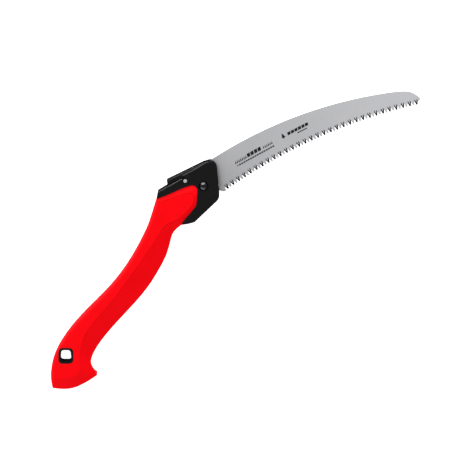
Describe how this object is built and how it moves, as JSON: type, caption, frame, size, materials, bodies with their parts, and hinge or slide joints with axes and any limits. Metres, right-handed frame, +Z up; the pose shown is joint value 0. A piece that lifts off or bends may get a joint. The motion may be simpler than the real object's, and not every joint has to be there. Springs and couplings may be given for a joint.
{
  "type": "folding pruning saw",
  "caption": "Folding pruning saw lying open: curved toothed steel blade, black head with pivot bolt and top lock lever, and a red curved pistol-style grip with a lanyard eyelet.",
  "frame": {"origin": "middle of the bounding box of the open saw, on the flat face it lies on", "axes": "+X from the butt of the handle to the blade tip, +Y to the spine side (teeth on -Y), +Z up, across the thickness"},
  "size_m": [0.5458, 0.1302, 0.022],
  "materials": {
    "frame_black": "satin moulded glass-filled nylon",
    "grip_red": "satin vivid red moulding",
    "eyelet_black": "satin black",
    "screw_steel": "zinc plated",
    "bolt_black": "black oxide",
    "small_steel": "bright turned",
    "washer_nylon": "natural nylon",
    "blade_steel": "satin ground, nickel plated",
    "lever_black": "satin black coating"
  },
  "bodies": {
    "handle": {"left_frame": "frame_black", "right_frame": "frame_black", "left_grip": "grip_red", "right_grip": "grip_red", "lanyard_eyelet": "eyelet_black", "handle_screw_1": "screw_steel", "handle_screw_2": "screw_steel", "handle_screw_3": "screw_steel", "handle_screw_4": "screw_steel", "pivot_bolt": "bolt_black", "pivot_nut": "bolt_black", "pivot_sleeve": "small_steel", "pivot_spring_washer": "small_steel", "left_washer": "washer_nylon", "right_washer": "washer_nylon", "stop_pin": "small_steel", "lever_pin": "small_steel", "lever_pin_clip": "bolt_black", "lever_spring": "small_steel"},
    "blade": {"blade": "blade_steel"},
    "lock_lever": {"lock_lever": "lever_black"}
  },
  "joints": [
    {"name": "blade_fold", "type": "hinge", "parent": "handle", "child": "blade", "pos_m": [0.01195, 0.0336, 0.011], "axis": [0, 0, -1], "range_deg": [0, 146.8]},
    {"name": "lever_press", "type": "hinge", "parent": "handle", "child": "lock_lever", "pos_m": [-0.00105, 0.0516, 0.011], "axis": [0, 0, 1], "range_deg": [-4.5, 3], "stiffness_Nm_per_rad": 0.4, "springref_deg": -14.32, "deforming": ["lever_spring"]}
  ]
}
